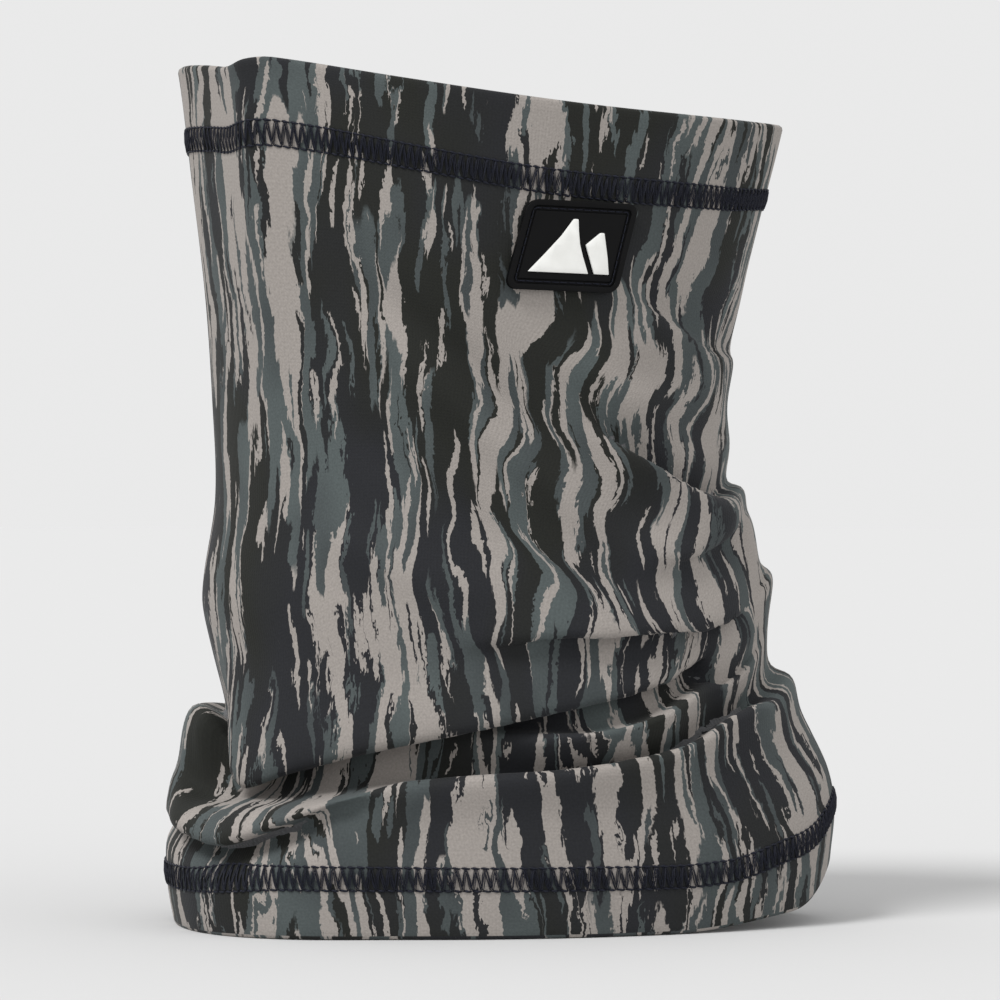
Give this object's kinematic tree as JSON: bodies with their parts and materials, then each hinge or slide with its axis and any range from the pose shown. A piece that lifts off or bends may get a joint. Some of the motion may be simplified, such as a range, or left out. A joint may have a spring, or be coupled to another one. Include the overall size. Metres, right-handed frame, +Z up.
{
  "type": "neck gaiter",
  "caption": "Neck gaiter: a double-layer tube of stretch fabric with turned, flatlock-stitched hems, a bark-stripe print and a rubber patch; its top edge pulls up over the nose or down.",
  "frame": {"origin": "on the surface that the bottom hem stands on, under the middle of the tube's box", "axes": "+Z up along the tube to its top hem, -Y towards the front, +X towards the side that the top edge slopes down to"},
  "size_m": [0.2001, 0.1456, 0.2554],
  "materials": {
    "printed_fabric": "matte fine knit of polyester and elastane, printed in tan, slate green and charcoal bark stripes",
    "lining_fabric": "soft brushed charcoal knit",
    "navy_thread": "twisted filament thread, slight sheen",
    "black_rubber": "satin moulded rubber",
    "white_rubber": "satin moulded rubber",
    "label_satin": "woven satin, blank"
  },
  "bodies": {
    "tube": {"outer_tube": "printed_fabric", "lining_tube": "lining_fabric", "bottom_hem_looper_thread": "navy_thread", "bottom_hem_lower_needle_thread": "navy_thread", "bottom_hem_upper_needle_thread": "navy_thread", "back_seam_looper_thread": "navy_thread", "lining_seam_thread": "navy_thread", "care_label": "label_satin"},
    "top_edge": {"top_hem_looper_thread": "navy_thread", "top_hem_lower_needle_thread": "navy_thread", "top_hem_upper_needle_thread": "navy_thread", "patch_base": "black_rubber", "patch_stitching_thread": "navy_thread", "emblem_main_peak": "white_rubber", "emblem_side_peak": "white_rubber"}
  },
  "joints": [
    {"name": "pull_up", "type": "slide", "parent": "tube", "child": "top_edge", "axis": [0, 0, 1], "range_m": [-0.05, 0.06], "deforming": ["outer_tube", "lining_tube", "back_seam_looper_thread", "lining_seam_thread"]}
  ]
}
